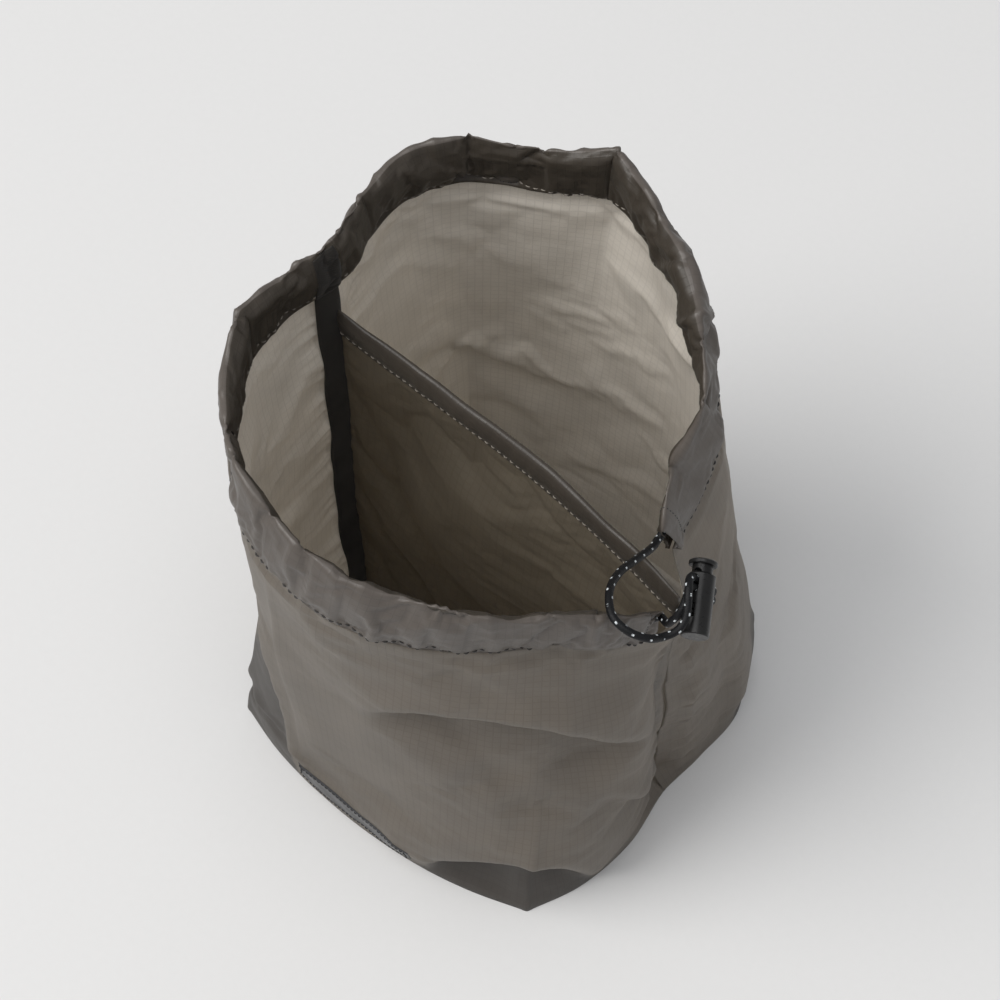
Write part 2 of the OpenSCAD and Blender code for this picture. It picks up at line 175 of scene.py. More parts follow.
# ---------------------------------------------------------------- cords
CORD_D = 2.8
CORD_DEPTH = 2.3        # how far the cord's centre is inside the rim
CORD_DROP = 5.5         # and how far below it
CORD_SIDES = 28
STRANDS = 16
BRAID_PITCH = 7.0       # one strand's full turn round the cord
LOCK_AT = np.array([79.3, -3.1, 208.4])
LOCK_TURN = (Matrix.Rotation(math.radians(-61), 3, "Z") @ Matrix.Rotation(math.radians(100), 3, "Y")
             @ Matrix.Rotation(math.radians(-150), 3, "Z"))
# The free legs. The second lists are laid out round the lock: out of its cross hole, across, down.
BACK_LEG_LOOP = [
    (58, -1, 200), (58, -10, 206), (58, -21, 213), (61, -31, 219), (67, -38, 220.5),
    (74, -39, 219), (80, -36, 216)]
BACK_LEG_LOCK = [
    (12, 5.2, 25), (9.2, 1.6, 22), (9, -0.8, 18), (10.2, -1.7, 14), (11.2, -2, 10.6),
    (11.2, -1.8, 7.4), (9.9, -1.1, 4.7), (7.4, -0.3, 3), (4.4, 0, 2.6), (0, 0, 2.6),
    (-4, 0, 2.6), (-8.2, 0, 2.6), (-10.2, 0.9, 2.9), (-11.3, 2.6, 3.6)]
FRONT_LEG_LOCK = [
    (1.2, 10.4, 16.8), (3.9, 7.6, 17.4), (6.5, 3.9, 16.2), (7.9, 1.2, 13.4), (8.4, 0.1, 10.4),
    (8, -0.1, 8), (6.6, 0, 6.4), (4.5, 0, 5.75), (2, 0, 5.7), (0, 0, 5.7),
    (-4, 0, 5.7), (-8.2, 0, 5.7), (-9.9, 0.8, 6), (-10.9, 2.4, 6.6)]


def lock_points(points):
    return np.array([LOCK_AT + np.array(LOCK_TURN @ Vector(p)) for p in points])


def cord_in_channel(k):
    k = np.atleast_1d(np.asarray(k, float))
    return along(4, k) + inward(4, k) * CORD_DEPTH - [0, 0, CORD_DROP]


def smooth_route(points, step=0.35):
    """A smooth curve through points, cut into even steps, in millimetres."""
    p = np.asarray(points, float)
    ends = np.vstack([2 * p[0] - p[1], p, 2 * p[-1] - p[-2]])
    fine = []
    for a, b, c, d in zip(ends, ends[1:], ends[2:], ends[3:]):
        f = np.linspace(0, 1, 40, endpoint=False)[:, None]
        fine.append(hermite(b, c, (c - a) / 2, (d - b) / 2, f))
    fine = np.vstack(fine + [p[-1:]])
    at = lengths_along(fine)
    even = np.linspace(0, at[-1], max(int(at[-1] / step), 8) + 1)
    return np.column_stack([np.interp(even, at, fine[:, i]) for i in range(3)]), at[-1]


def new_piece(name, verts, faces, uvs=None, materials=()):
    """A smooth mesh piece on the bag. uvs are per vertex."""
    mesh = bpy.data.meshes.new(name)
    mesh.from_pydata([tuple(v) for v in np.asarray(verts).tolist()], [], faces)
    mesh.update()
    if uvs is not None:
        layer = mesh.uv_layers.new(name="cloth")
        index = np.zeros(len(mesh.loops), int)
        mesh.loops.foreach_get("vertex_index", index)
        layer.data.foreach_set("uv", np.asarray(uvs, float)[index].ravel())
    mesh.polygons.foreach_set("use_smooth", [True] * len(mesh.polygons))
    for material in materials:
        mesh.materials.append(material)
    obj = placed(name, mesh)
    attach(obj, "bag")
    return obj


def tube_points(p, side, up, radius, sides):
    """Rings of points round the line p, with a radius for each ring or for each of its points."""
    turn = 2 * math.pi * np.arange(sides)[:, None] / sides
    out = side[:, None] * np.cos(turn) + up[:, None] * np.sin(turn)
    return (p[:, None] + out * radius[..., None]).reshape(-1, 3)


def tube_faces(rings, sides):
    faces = [(i * sides + j, i * sides + (j + 1) % sides, (i + 1) * sides + (j + 1) % sides,
              (i + 1) * sides + j) for i in range(rings - 1) for j in range(sides)]
    return faces + [tuple(range(sides))[::-1], tuple((rings - 1) * sides + j for j in range(sides))]


def braided_tube(name, route, diameter):
    """A braided cord along a route: two sets of strands that wind both ways."""
    p = np.asarray(route)
    t = unit(np.gradient(p, axis=0))
    side = np.cross(t[0], [0, 0, 1.0])
    sides_at = []
    for d in t:
        side = unit(side - d * (side @ d))
        sides_at.append(side)
    sides_at = np.array(sides_at)
    length = lengths_along(p)
    round_it = np.arange(CORD_SIDES)[None, :] / CORD_SIDES
    wound = [np.abs(np.sin((round_it + way * length[:, None] / BRAID_PITCH) * STRANDS / 2 * math.pi))
             for way in (1, -1)]
    radius = diameter / 2 * (0.93 + 0.09 * np.maximum(*wound))
    verts = tube_points(p, sides_at, np.cross(t, sides_at), radius, CORD_SIDES)
    obj = new_piece(name, to_frame(verts), tube_faces(len(p), CORD_SIDES))
    layer = obj.data.uv_layers.new(name="cord")
    for poly in obj.data.polygons:
        last_side = max(v % CORD_SIDES for v in poly.vertices) == CORD_SIDES - 1
        over_the_join = len(poly.vertices) == 4 and last_side
        for i in poly.loop_indices:
            row, j = divmod(obj.data.loops[i].vertex_index, CORD_SIDES)
            layer.data[i].uv = (length[row], 1.0 if j == 0 and over_the_join else j / CORD_SIDES)
    return obj


def free_leg(name, points, node):
    route, length = smooth_route(points)
    leg = braided_tube(name, route, CORD_D)
    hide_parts(node)
    return leg


def tied_knot():
    """The two ends tied together: a tight overhand knot that fills its place behind the lock."""
    low, high = (np.array(v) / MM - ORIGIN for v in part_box("cord_knot"))
    t = np.linspace(0.35, 2 * math.pi - 0.1, 60)
    turns = np.column_stack([np.sin(t) + 2 * np.sin(2 * t), np.cos(t) - 2 * np.cos(2 * t),
                             -1.6 * np.sin(3 * t)])
    turns /= np.abs(turns).max(axis=0)
    half = (high - low) / 2 - CORD_D * 0.44
    route, _ = smooth_route((low + high) / 2 + turns * np.maximum(half, 0.9))
    knot = braided_tube("tied_knot", route, CORD_D * 0.94)
    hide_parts("cord_knot")
    return knot


knot = tied_knot()
back_mouth = cord_in_channel(BACK_END)[0]
front_mouth = cord_in_channel(FRONT_END)[0]
back_leg = free_leg("cord_back_loop", np.vstack([[back_mouth], BACK_LEG_LOOP, lock_points(BACK_LEG_LOCK)]),
                    "cord_back_leg")
front_leg = free_leg("cord_front_loop", np.vstack([[front_mouth], lock_points(FRONT_LEG_LOCK)]),
                     "cord_front_leg")


# ---------------------------------------------------------------- materials
class Nodes:
    """Short names for building a material's node tree."""

    def __init__(self, name):
        self.material = bpy.data.materials.new(name)
        self.material.use_nodes = True
        self.tree = self.material.node_tree
        self.tree.nodes.clear()
        self.output = self.add("ShaderNodeOutputMaterial")

    def add(self, kind, **values):
        node = self.tree.nodes.new(kind)
        for key, value in values.items():
            if hasattr(node, key):
                setattr(node, key, value)
            else:
                node.inputs[key.replace("_", " ")].default_value = value
        return node

    def link(self, a, b):
        self.tree.links.new(a, b)

    def math(self, operation, *values, clamp=False):
        node = self.add("ShaderNodeMath", operation=operation, use_clamp=clamp)
        for i, value in enumerate(values):
            if isinstance(value, (int, float)):
                node.inputs[i].default_value = value
            else:
                self.link(value, node.inputs[i])
        return node.outputs[0]

    def noise(self, vector, scale, detail=4, roughness=0.55):
        node = self.add("ShaderNodeTexNoise", Scale=scale, Detail=detail, Roughness=roughness)
        self.link(vector, node.inputs["Vector"])
        return node.outputs["Fac"]

    def mix(self, factor, a, b):
        node = self.add("ShaderNodeMix", data_type="RGBA")
        for socket, value in ((node.inputs[0], factor), (node.inputs[6], a), (node.inputs[7], b)):
            if isinstance(value, (int, float)):
                socket.default_value = value
            elif isinstance(value, tuple):
                socket.default_value = (*value, 1)
            else:
                self.link(value, socket)
        return node.outputs[2]

    def spread(self, value, low, high, to_low=0.0, to_high=1.0):
        node = self.add("ShaderNodeMapRange")
        self.link(value, node.inputs[0])
        for i, limit in enumerate((low, high, to_low, to_high)):
            node.inputs[i + 1].default_value = limit
        return node.outputs[0]

    def bump(self, height, strength, distance, below=None):
        node = self.add("ShaderNodeBump", Strength=strength, Distance=distance)
        self.link(height, node.inputs["Height"])
        if below is not None:
            self.link(below, node.inputs["Normal"])
        return node.outputs["Normal"]

    def axes(self, uv_map):
        """A UV map and its two axes."""
        uv = self.add("ShaderNodeUVMap", uv_map=uv_map).outputs[0]
        split = self.add("ShaderNodeSeparateXYZ")
        self.link(uv, split.inputs[0])
        return uv, split.outputs[0], split.outputs[1]

    def place(self):
        return self.add("ShaderNodeTexCoord").outputs["Object"]

    def stripes(self, axis, pitch):
        """0 on lines a pitch apart, 0.5 midway between them."""
        return self.math("PINGPONG", self.math("DIVIDE", axis, pitch), 0.5)

    def skin(self, shade, normal=None, **values):
        """A Principled surface of a colour, with a normal."""
        skin = self.add("ShaderNodeBsdfPrincipled", **values)
        self.link(shade, skin.inputs["Base Color"])
        if normal is not None:
            self.link(normal, skin.inputs["Normal"])
        return skin

    def finished(self, shader):
        self.link(shader.outputs[0], self.output.inputs[0])
        return self.material


def toned(colour, factor):
    return tuple(min(c * factor, 1) for c in colour)


def ripstop(name, colour, through, clear, rough, gloss):
    """Thin woven nylon with a square grid of heavier threads. through is the colour of light that
    passes, and clear is how much passes."""
    n = Nodes(name)
    uv, u, v = n.axes("cloth")
    place = n.place()
    wobble = n.math("MULTIPLY", n.math("SUBTRACT", n.noise(uv, 90), 0.5), 0.0004)
    across, up = n.math("ADD", u, wobble), n.math("ADD", v, wobble)

    def threads(pitch, width, soft):
        """1 on the threads both ways, 0 between."""
        return n.math("MAXIMUM", *(n.spread(n.stripes(axis, pitch), width, width + soft, 1.0, 0.0)
                                   for axis in (across, up)))
    grid = threads(0.003, 0.025, 0.07)
    fine = threads(0.00042, 0.1, 0.3)
    cloudy = n.spread(n.noise(place, 38, 3), 0.3, 0.7)
    slubs = n.spread(n.noise(uv, 900, 2), 0.35, 0.75)
    doubled_and_shaded = n.add("ShaderNodeAttribute", attribute_name="doubled_and_shaded").outputs["Fac"]
    shade = n.mix(cloudy, toned(colour, 0.93), toned(colour, 1.06))
    shade = n.mix(n.math("MULTIPLY", slubs, 0.18), shade, toned(colour, 0.72))
    shade = n.mix(n.math("MULTIPLY", grid, 0.15), shade, toned(colour, 0.6))
    # where the cloth lies double its colour is darkened: painted shade
    shade = n.mix(n.math("MULTIPLY", doubled_and_shaded, 0.45), shade, toned(colour, 0.25))
    lit = n.mix(cloudy, toned(through, 0.95), toned(through, 1.04))
    lit = n.mix(n.math("MULTIPLY", grid, 0.22), lit, toned(through, 0.55))
    # and less light passes through the double cloth
    lit = n.mix(n.math("MULTIPLY", doubled_and_shaded, 0.8), lit, toned(through, 0.15))
    wrinkles = n.bump(n.noise(place, 160, 5, 0.6), 0.16, 0.0012)
    weave = n.bump(n.math("ADD", grid, n.math("MULTIPLY", fine, 0.35)), 0.28, 0.00012, wrinkles)
    skin = n.skin(shade, weave, Roughness=rough, Specular_IOR_Level=gloss, Sheen_Weight=0.03,
                  Sheen_Roughness=0.4)
    glow = n.add("ShaderNodeBsdfTranslucent")
    n.link(lit, glow.inputs["Color"])
    n.link(weave, glow.inputs["Normal"])
    both = n.add("ShaderNodeMixShader", Fac=clear)
    n.link(skin.outputs[0], both.inputs[1])
    n.link(glow.outputs[0], both.inputs[2])
    return n.finished(both)


def tape_material():
    """Woven binding with fine cross ribs."""
    n = Nodes("binding_tape")
    uv, across, up = n.axes("cloth")
    ribs = n.stripes(up, 0.0007)
    twill = n.stripes(n.math("ADD", across, up), 0.0011)
    shade = n.mix(n.spread(n.noise(uv, 150), 0.3, 0.75), (0.011, 0.0095, 0.008), (0.021, 0.018, 0.0155))
    shade = n.mix(n.math("MULTIPLY", ribs, 0.5), shade, (0.032, 0.028, 0.024))
    weave = n.bump(n.math("ADD", ribs, twill), 0.4, 0.0002)
    return n.finished(n.skin(shade, weave, Roughness=0.72, Sheen_Weight=0.1, Specular_IOR_Level=0.25))


def label_material():
    """Plain satin label, woven in fine ribs."""
    n = Nodes("woven_label")
    uv, across, up = n.axes("cloth")
    ribs = n.stripes(up, 0.00055)
    warp = n.stripes(across, 0.0004)
    shade = n.mix(n.spread(n.noise(uv, 260), 0.3, 0.7), (0.017, 0.018, 0.02), (0.028, 0.029, 0.032))
    shade = n.mix(n.math("MULTIPLY", n.math("MAXIMUM", ribs, warp), 0.35), shade, (0.046, 0.047, 0.05))
    weave = n.bump(n.math("ADD", ribs, warp), 0.35, 0.00015)
    return n.finished(n.skin(shade, weave, Roughness=0.55, Sheen_Weight=0.15))


def cord_material():
    """Black braid with pale reflective flecks. Its UV map is in millimetres along the cord."""
    n = Nodes("drawcord")
    uv, along_it, round_it = n.axes("cord")
    turned = n.math("MULTIPLY", round_it, STRANDS / 2)
    run = n.math("DIVIDE", along_it, BRAID_PITCH * 2 / STRANDS)
    strands = n.math("MAXIMUM", *(n.math("PINGPONG", n.math(way, turned, run), 0.5)
                                  for way in ("ADD", "SUBTRACT")))
    # a fleck every 6.2 mm on each of four lines round the cord, every second line half a step on
    line = n.math("MULTIPLY", round_it, 4)
    step = n.math("MULTIPLY", n.math("MODULO", n.math("FLOOR", line), 2), 0.5)
    beat = n.math("FRACT", n.math("ADD", n.math("DIVIDE", along_it, 6.2), step))
    narrow = n.math("LESS_THAN", n.math("ABSOLUTE", n.math("SUBTRACT", n.math("FRACT", line), 0.5)), 0.16)
    fleck = n.math("MULTIPLY", n.math("LESS_THAN", beat, 0.15), narrow)
    fleck = n.math("MULTIPLY", fleck, n.spread(n.noise(uv, 0.9, 2), 0.35, 0.5))
    shade = n.mix(n.math("MULTIPLY", strands, 1.6, clamp=True), (0.0025, 0.0025, 0.003),
                  (0.009, 0.0095, 0.011))
    shade = n.mix(fleck, shade, (0.62, 0.66, 0.68))
    return n.finished(n.skin(shade, n.bump(strands, 0.5, 0.0002), Roughness=0.5, Specular_IOR_Level=0.22))


def plastic_material(name, colour, rough):
    """Moulded plastic with a faint spark texture, paler along its sharp edges."""
    n = Nodes(name)
    place = n.place()
    marks = n.noise(place, 520)
    edge = n.add("ShaderNodeNewGeometry").outputs["Pointiness"]
    paler_edges = n.math("MULTIPLY", n.spread(edge, 0.52, 0.6), 0.5)
    shade = n.mix(n.spread(marks, 0.35, 0.7), colour, toned(colour, 1.5))
    shade = n.mix(paler_edges, shade, tuple(c * 3.2 + 0.01 for c in colour))
    skin = n.skin(shade, n.bump(n.noise(place, 4200, 3), 0.12, 0.0001), Specular_IOR_Level=0.32)
    n.link(n.spread(marks, 0.3, 0.7, rough - 0.06, rough + 0.08), skin.inputs["Roughness"])
    return n.finished(skin)


def thread_material(name, colour):
    """Twisted sewing thread."""
    n = Nodes(name)
    ply = n.noise(n.place(), 2600, 3)
    shade = n.mix(n.spread(ply, 0.35, 0.7), toned(colour, 0.6), colour)
    return n.finished(n.skin(shade, n.bump(ply, 0.4, 0.0001), Roughness=0.6, Sheen_Weight=0.2))


def steel_material():
    n = Nodes("spring_steel")
    drawn = n.noise(n.place(), 1500, 3)
    skin = n.skin(n.mix(drawn, (0.42, 0.43, 0.45), (0.58, 0.59, 0.6)), Metallic=1.0)
    n.link(n.spread(drawn, 0.3, 0.7, 0.25, 0.42), skin.inputs["Roughness"])
    return n.finished(skin)


CLOTH = ripstop("ripstop", (0.108, 0.095, 0.083), (0.76, 0.70, 0.62), 0.34, 0.42, 0.75)
# The inside's near-white tone is partly its lighter coated side and partly painted light, standing in for
# light that falls into the bag.
CLOTH_INSIDE = ripstop("ripstop_coated_side_and_painted_light", (0.94, 0.885, 0.80), (0.90, 0.845, 0.76), 0.35, 0.45, 0.35)
CHANNEL_CLOTH = ripstop("ripstop_channel", (0.122, 0.106, 0.093), (0.5, 0.44, 0.38), 0.22, 0.36, 0.5)
# The channel's inside is much darker than the wall's inside, though it is the same cloth: painted shade where
# its two layers let little light through.
CHANNEL_INSIDE = ripstop("ripstop_channel_inside", (0.062, 0.052, 0.041), (0.46, 0.39, 0.30), 0.24, 0.38,
                         0.42)
DIVIDER_CLOTH = ripstop("ripstop_divider", (0.17, 0.15, 0.12), (0.60, 0.535, 0.435), 0.38, 0.45, 0.3)
# The hem's darker tone is painted shade where the folded cloth lets little light through.
HEM_CLOTH = ripstop("ripstop_divider_hem", (0.06, 0.051, 0.042), (0.32, 0.28, 0.23), 0.12, 0.36, 0.5)
TAPE = tape_material()
LABEL = label_material()
CORD = cord_material()
THREAD = thread_material("stitch_thread", (0.33, 0.295, 0.25))
# A darker copy of the stitch thread: painted shade of the grooves that the outer stitching sinks into.
SHADED_THREAD = thread_material("stitch_thread_painted_shade", (0.035, 0.031, 0.028))
BLACK_THREAD = thread_material("label_thread", (0.012, 0.012, 0.014))
LOCK = plastic_material("lock_plastic", (0.0045, 0.0044, 0.0045), 0.3)
STEEL = steel_material()
for leg in (back_leg, front_leg, knot):
    leg.data.materials.append(CORD)


# ---------------------------------------------------------------- cloth surfaces
def value_noise(points, scale, seed):
    """Smooth noise from -1 to 1 at points in millimetres."""
    shift = Vector((seed * 17.3, seed * 5.1, seed * 9.7))
    flat = np.asarray(points, float).reshape(-1, 3) / scale
    values = [noise.noise(Vector(p) + shift) for p in flat.tolist()]
    return np.array(values).reshape(np.asarray(points).shape[:-1])


def ridged(points, scale, seed):
    """Noise with sharp crests at 1."""
    return 1 - 2 * np.abs(value_noise(points, scale, seed))


def gauss(x, width):
    return np.exp(-(x / width) ** 2)


def grid_faces(rows, cols):
    return [(r * cols + c, r * cols + c + 1, (r + 1) * cols + c + 1, (r + 1) * cols + c)
            for r in range(rows - 1) for c in range(cols - 1)]


def grid_normals(p):
    """Unit normals of a grid of points, by the differences along its rows and columns."""
    n = np.cross(np.gradient(p, axis=1), np.gradient(p, axis=0))
    return n / np.maximum(np.linalg.norm(n, axis=-1, keepdims=True), 1e-9)


def blurred(values, passes):
    """Values with each one eased towards its neighbours."""
    for _ in range(passes):
        for axis in (0, 1):
            v = np.moveaxis(values, axis, 0)
            v = np.concatenate([v[:1], (v[:-2] + 2 * v[1:-1] + v[2:]) / 4, v[-1:]])
            values = np.moveaxis(v, 0, axis)
    return values


def grid_uvs(p):
    """Cloth coordinates in metres: lengths along the middle row and the middle column."""
    rows, cols = p.shape[:2]
    u, v = np.meshgrid(lengths_along(p[rows // 2]), lengths_along(p[:, cols // 2]))
    return np.stack([u, v], -1).reshape(-1, 2) * MM


def halved(values, axis):
    """The same grid with a smooth middle value between each two rows or columns."""
    v = np.moveaxis(np.asarray(values, float), axis, 0)
    before = np.concatenate([2 * v[:1] - v[1:2], v[:-2]])
    after = np.concatenate([v[2:], 2 * v[-1:] - v[-2:-1]])
    middle = (v[:-1] + v[1:]) * 0.5625 - (before + after) * 0.0625
    out = np.empty((2 * len(v) - 1, *v.shape[1:]))
    out[0::2], out[1::2] = v, middle
    return np.moveaxis(out, 0, axis)


def finer(values):
    return halved(halved(values, 0), 1)


class Surface:
    """A grid of points over stations ks and heights hs, read between its points."""

    def __init__(self, points, ks, hs):
        self.points, self.ks, self.hs = points, ks, hs
        self.normals = grid_normals(points)

    def read(self, values, h, k):
        r = np.interp(h, self.hs, np.arange(len(self.hs)))
        c = np.interp(k, self.ks, np.arange(len(self.ks)))
        r0 = np.minimum(r.astype(int), len(self.hs) - 2)
        c0 = np.minimum(c.astype(int), len(self.ks) - 2)
        fr, fc = (r - r0)[..., None], (c - c0)[..., None]
        low = values[r0, c0] * (1 - fc) + values[r0, c0 + 1] * fc
        high = values[r0 + 1, c0] * (1 - fc) + values[r0 + 1, c0 + 1] * fc
        return low * (1 - fr) + high * fr

    def at(self, h, k, out=0.0):
        n = unit(self.read(self.normals, h, k))
        return self.read(self.points, h, k) + n * np.asarray(out)[..., None], n


DRAPE_FRAMES = 18
DRAPE = {
    "quality": 6, "mass": 0.05, "tension_stiffness": 20, "compression_stiffness": 20, "shear_stiffness": 8,
    "tension_damping": 8, "compression_damping": 8, "shear_damping": 6, "bending_damping": 0.5,
    "air_damping": 2, "vertex_group_mass": "hold", "pin_stiffness": 1.2}


def vertex_places(mesh):
    return np.array([v.co[:] for v in mesh.vertices])


def settle(obj, hold, limit, spare, bending):
    """Lets the cloth buckle without gravity: it gets a share of spare cloth, hold says how firmly each
    point stays, and no point moves further than the limit."""
    group = obj.vertex_groups.new(name="hold")
    levels = np.round(np.asarray(hold).ravel(), 2)
    for level in np.unique(levels):
        group.add([int(i) for i in np.nonzero(levels == level)[0]], float(level), "REPLACE")
    start = vertex_places(obj.data)
    cloth = obj.modifiers.new("drape", "CLOTH")
    for key, value in DRAPE.items():
        setattr(cloth.settings, key, value)
    cloth.settings.bending_stiffness = bending
    cloth.settings.shrink_min = -spare
    cloth.settings.effector_weights.gravity = 0
    cloth.point_cache.frame_start = 1
    cloth.point_cache.frame_end = DRAPE_FRAMES
    scene = bpy.context.scene
    for number in range(1, DRAPE_FRAMES + 1):
        scene.frame_set(number)
    move = vertex_places(obj.evaluated_get(bpy.context.evaluated_depsgraph_get()).to_mesh()) - start
    obj.modifiers.remove(cloth)
    obj.vertex_groups.remove(group)
    scene.frame_set(1)
    far = np.linalg.norm(move, axis=1)[:, None]
    move *= np.minimum(1, limit * MM / np.maximum(far, 1e-9))
    obj.data.vertices.foreach_set("co", (start + move).astype(np.float32).ravel())


def settled_grid(name, grid, hold, limit, spare, bending):
    """The grid of points after the cloth has settled."""
    obj = new_piece(name, to_frame(grid).reshape(-1, 3), grid_faces(*grid.shape[:2]))
    settle(obj, hold, limit, spare, bending)
    mesh = obj.data
    out = vertex_places(mesh).reshape(grid.shape) / MM - ORIGIN
    bpy.data.objects.remove(obj)
    bpy.data.meshes.remove(mesh)
    return out


CLOTH_THICK = 0.3


def cloth_piece(name, grid, slot, *materials):
    """A sheet of cloth through a grid of points."""
    return new_piece(name, to_frame(grid).reshape(-1, 3), grid_faces(*grid.shape[:2]), grid_uvs(grid),
                     materials)


def thicken(obj, inside=0):
    """Gives a sheet its thickness; inside is the material slot of the side away from its normals."""
    solid = obj.modifiers.new("cloth", "SOLIDIFY")
    solid.thickness = CLOTH_THICK * MM
    solid.offset = 0
    solid.material_offset = inside
    return obj


def on_line(x):
    """Points on one line, for noise that runs along it only."""
    return np.stack([x, 0 * x, 0 * x], -1)


# ---------------------------------------------------------------- panels
PER_STATION = 9
STATION_MM = 25         # about how far one station and one height are on the cloth
HEIGHT_MM = 78


def to_crease(k, h, line):
    """Signed distance in millimetres to a crease drawn as [(station, height)...], positive on its left,
    and how far along it the nearest point is, from 0 to 1."""
    q = np.stack([k * STATION_MM, h * HEIGHT_MM], -1)
    p = np.array(line, float) * [STATION_MM, HEIGHT_MM]
    p = smooth_route(np.column_stack([p, 0 * p[:, 0]]), 5)[0][:, :2]
    lengths = np.linalg.norm(np.diff(p, axis=0), axis=1)
    starts = np.concatenate([[0], np.cumsum(lengths)])
    best = np.full(k.shape, 1e9)
    signed, share = best.copy(), best.copy()
    for i, (a, b) in enumerate(zip(p, p[1:])):
        d = (b - a) / lengths[i]
        t = np.clip((q - a) @ d, 0, lengths[i])
        away = q - (a + t[..., None] * d)
        far = np.linalg.norm(away, axis=-1)
        side = np.sign(d[0] * (q - a)[..., 1] - d[1] * (q - a)[..., 0])
        near = far < best
        best = np.where(near, far, best)
        signed = np.where(near, far * side, signed)
        share = np.where(near, (starts[i] + t) / starts[-1], share)
    return signed, share


# Creases of the panels: the line, how far its lip stands out and how wide, how deep the cloth falls in
# beside it and how wide, and how suddenly, all in millimetres.
CREASES = [
    ([(6.2, 2.0), (6.9, 2.36), (7.8, 2.5), (9.15, 2.42), (10.15, 2.25), (11.3, 2.02)],
     5.5, 18, 14.0, 42, 5.5),
    ([(7.0, 0.02), (7.5, 0.5), (8.15, 0.84), (8.8, 0.95), (9.4, 0.9), (9.9, 0.55), (10.3, 0.03)],
     5.5, 26, 12.0, 44, 5.5),
    ([(10.2, 1.62), (10.9, 1.32), (11.7, 1.04)], 2.4, 10, 3.5, 16, 3.5),
    ([(10.4, 1.16), (11.0, 1.36), (11.7, 1.3)], 1.4, 8, 2.2, 10, 3),
    ([(5.3, 2.72), (6.4, 2.66), (7.6, 2.74)], 1.2, 12, 2.0, 16, 6),
    ([(7.6, 2.94), (8.3, 2.78), (9.4, 2.7)], 1.0, 9, 2.4, 16, 6),
    ([(3.4, 1.95), (4.05, 1.42), (4.45, 1.0), (4.75, 0.22)], 2.8, 14, 3.4, 22, 4),
    ([(4.8, 2.4), (5.05, 1.85), (5.2, 1.3), (5.35, 0.5)], 1.8, 12, 1.2, 18, 6),
    ([(13.75, 2.2), (13.8, 1.4), (13.8, 0.7), (13.7, 0.1)], 2.4, 14, 3.0, 18, 4),
    ([(22.3, 1.8), (21.2, 1.68), (19.9, 1.42), (19.4, 1.6)], 1.6, 12, 3.0, 17, 5),
    ([(19.5, 0.5), (18.9, 0.62), (18.2, 0.86)], 1.6, 13, 1.0, 14, 5),
    ([(17.75, 2.75), (17.55, 2.3), (17.2, 1.6)], 1.6, 14, 1.4, 18, 5),
    ([(19.0, 2.97), (18.4, 2.85), (17.7, 2.6)], 1.6, 14, 1.4, 16, 6),
    ([(23.6, 2.9), (23.0, 2.7), (22.2, 2.86)], 1.4, 14, 1.8, 16, 6),
    ([(16.9, 1.2), (16.2, 1.5), (15.6, 2.2)], 1.4, 14, 1.6, 18, 6),
    ([(21.5, 0.9), (20.4, 1.05), (19.6, 0.9)], 1.2, 14, 1.4, 16, 6),
    ([(0.7, 1.6), (1.6, 1.75), (2.7, 1.5)], 1.8, 10, 2.4, 14, 5),
    ([(14.6, 0.5), (15.4, 0.75), (16.4, 0.45)], 2.2, 12, 4.0, 20, 5),
    ([(20.4, 0.45), (21.1, 0.7), (21.9, 0.4)], 2.2, 12, 4.0, 20, 5),
    ([(2.2, 0.4), (3.0, 0.62), (3.7, 0.35)], 1.4, 12, 2.4, 16, 5)]
# Valleys: the line, how deep and how wide. A negative depth stands out.
VALLEYS = [
    ([(11.4, 2.85), (11.6, 2.2), (11.85, 1.2), (12.0, 0.3), (12.0, 0.0)], 8.0, 15),
    ([(10.5, 2.7), (10.75, 1.8), (10.9, 1.1)], -3.0, 30),
    ([(11.2, 2.45), (12.0, 2.1), (12.7, 1.9)], 1.8, 8),
    ([(11.1, 1.5), (12.0, 1.3), (12.6, 1.4)], 1.6, 8),
    ([(8.6, 2.05), (8.9, 1.6), (9.6, 1.1)], 2.0, 26)]


def eased(share, start, end):
    e = np.clip(share / start, 0, 1) * np.clip((1 - share) / end, 0, 1)
    return e * e * (3 - 2 * e)


def creases(h, k):
    """How far the creases lift the cloth out of its outline, in millimetres."""
    out = np.zeros(h.shape)
    lowest, highest = k.min() - 2, k.max() + 2
    for line, lift, lift_width, fall, fall_width, edge in CREASES:
        if lowest < line[0][0] < highest:
            d, share = to_crease(k, h, line)
            side = gauss(d, lift_width)
            onset = 1 - gauss(np.minimum(d, 0), edge)
            under = lift * gauss(d, edge) - fall * onset * gauss(d, fall_width)
            out += eased(share, 0.2, 0.25) * np.where(d > 0, lift * side, under)
    for line, depth, width in VALLEYS:
        if lowest < line[0][0] < highest:
            d, share = to_crease(k, h, line)
            out -= eased(share, 0.15, 0.1) * depth * np.exp(-np.abs(d / width) ** 1.3)
    return out


# The boxed corners' ears, [(station, height)...] over each. The cloth under them is double: less light passes,
# and its colour is darkened as painted shade.
EARS = [[(1.6, 0), (2.2, 0.7), (3.0, 1.3), (3.7, 1.6), (4.2, 1.2), (4.5, 0.7), (4.75, 0)],
        [(7.0, 0), (7.5, 0.5), (8.15, 0.84), (8.8, 0.95), (9.4, 0.9), (9.9, 0.55), (10.3, 0)],
        [(13.7, 0), (14.0, 0.6), (14.6, 1.0), (15.2, 0.95), (15.8, 0.5), (16.2, 0)],
        [(20.0, 0), (20.5, 0.3), (21.0, 0.45), (21.6, 0.3), (22.1, 0)]]


